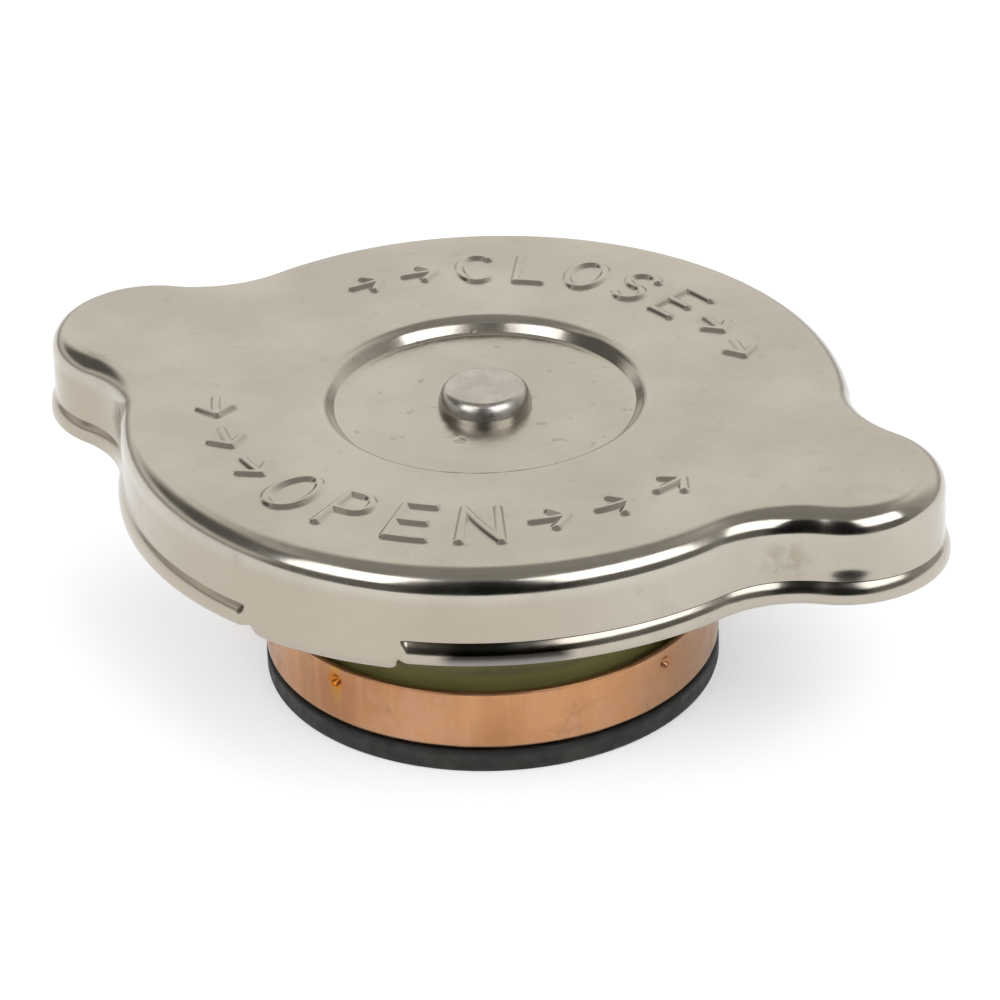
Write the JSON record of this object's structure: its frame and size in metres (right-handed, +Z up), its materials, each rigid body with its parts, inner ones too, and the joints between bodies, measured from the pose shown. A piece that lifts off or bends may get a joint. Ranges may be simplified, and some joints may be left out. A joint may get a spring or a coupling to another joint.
{
  "type": "radiator cap",
  "caption": "Two-eared bayonet radiator pressure cap with a flared skirt, locking tangs, a sprung pressure valve in a copper cup and a central vacuum valve.",
  "frame": {"origin": "centre of the lower gasket's sealing face, on the cap's axis", "axes": "+Z up along the cap's axis, out of the filler neck; X through the two ears; Y through the two locking tangs"},
  "size_m": [0.089, 0.0662, 0.028],
  "materials": {
    "nickel_plate": "bright nickel-plated pressed steel, a little scuffed",
    "rivet_steel": "plated steel rivet",
    "spring_steel": "plain spring steel",
    "copper": "satin copper-coloured sheet with light tarnish",
    "bell_brass": "olive passivated sheet",
    "brass": "plain brass",
    "rubber": "matt black moulded rubber"
  },
  "bodies": {
    "cover": {"cover_shell": "nickel_plate", "center_rivet": "rivet_steel"},
    "bell": {"bell_housing": "bell_brass", "diaphragm_spring": "spring_steel", "friction_washer": "brass", "pressure_spring": "spring_steel"},
    "pressure_valve": {"pressure_cup": "copper", "pressure_gasket": "rubber", "gasket_retainer": "brass", "vacuum_spring": "spring_steel"},
    "vacuum_valve": {"vacuum_valve": "brass", "spring_keeper": "brass"}
  },
  "joints": [
    {"name": "bell_swivel", "type": "hinge", "parent": "cover", "child": "bell", "pos_m": [0, 0, 0.0245], "axis": [0, 0, 1], "continuous": true},
    {"name": "pressure_lift", "type": "slide", "parent": "bell", "child": "pressure_valve", "axis": [0, 0, 1], "range_m": [0, 0.0025], "stiffness_N_per_m": 3000, "springref_m": -0.001, "deforming": ["pressure_spring"]},
    {"name": "vacuum_drop", "type": "slide", "parent": "pressure_valve", "child": "vacuum_valve", "axis": [0, 0, -1], "range_m": [0, 0.0016], "stiffness_N_per_m": 100, "springref_m": -0.001, "deforming": ["vacuum_spring"]}
  ]
}
